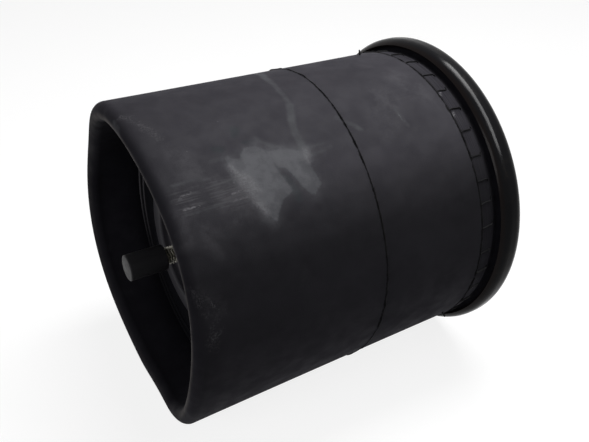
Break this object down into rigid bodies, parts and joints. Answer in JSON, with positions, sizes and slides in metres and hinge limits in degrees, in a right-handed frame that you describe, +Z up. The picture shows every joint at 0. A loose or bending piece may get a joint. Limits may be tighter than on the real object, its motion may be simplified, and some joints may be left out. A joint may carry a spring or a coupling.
{
  "type": "air suspension spring",
  "caption": "Rolling-lobe air spring for a heavy vehicle: a rubber sleeve crimped to a round steel bead plate and folded back into itself round a recessed lower closure with a capped stud.",
  "frame": {"origin": "centre of the bead plate's flat mounting face, on the spring's axis", "axes": "+X along the spring's axis, out of the bead plate; the spring lies on its side with +Z up, and the folded end points to -X"},
  "size_m": [0.2918, 0.2319, 0.2293],
  "materials": {
    "gloss_black_steel": "glossy black paint",
    "plated_steel": "zinc plated",
    "brassy_plated_steel": "yellow zinc plated",
    "bead_wire": "bronze coated wire",
    "cover_rubber": "matte, dusty and scuffed",
    "rubberised_cord": "rubberised cord",
    "inner_rubber": "matte",
    "closure_steel": "satin black",
    "face_rubber": "satin moulded rubber",
    "stop_rubber": "matte",
    "cap_plastic": "satin black"
  },
  "bodies": {
    "upper_end": {"bead_plate": "gloss_black_steel", "combo_stud": "plated_steel", "plain_stud": "plated_steel", "upper_bead_core": "bead_wire", "upper_bead_filler": "inner_rubber"},
    "lobe": {"outer_cover": "cover_rubber", "cord_plies": "rubberised_cord", "inner_liner": "inner_rubber"},
    "closure": {"closure_plate": "closure_steel", "closure_rubber": "face_rubber", "lower_bead_core": "bead_wire", "lower_bead_filler": "inner_rubber", "lower_stud": "brassy_plated_steel", "bump_post": "closure_steel", "bump_stop": "stop_rubber"},
    "cap": {"stud_cap": "cap_plastic"}
  },
  "joints": [
    {"name": "lobe_roll", "type": "slide", "parent": "upper_end", "child": "lobe", "axis": [1, 0, 0], "range_m": [-0.015, 0.065], "deforming": ["outer_cover", "cord_plies", "inner_liner"]},
    {"name": "closure_stroke", "type": "slide", "parent": "lobe", "child": "closure", "axis": [1, 0, 0], "range_m": [-0.015, 0.065], "deforming": ["outer_cover", "cord_plies", "inner_liner"]},
    {"name": "cap_pull", "type": "slide", "parent": "closure", "child": "cap", "axis": [-1, 0, 0], "range_m": [0, 0.06]}
  ],
  "couplings": [
    {"joint": "closure_stroke", "follows": "lobe_roll", "ratio": 1}
  ]
}
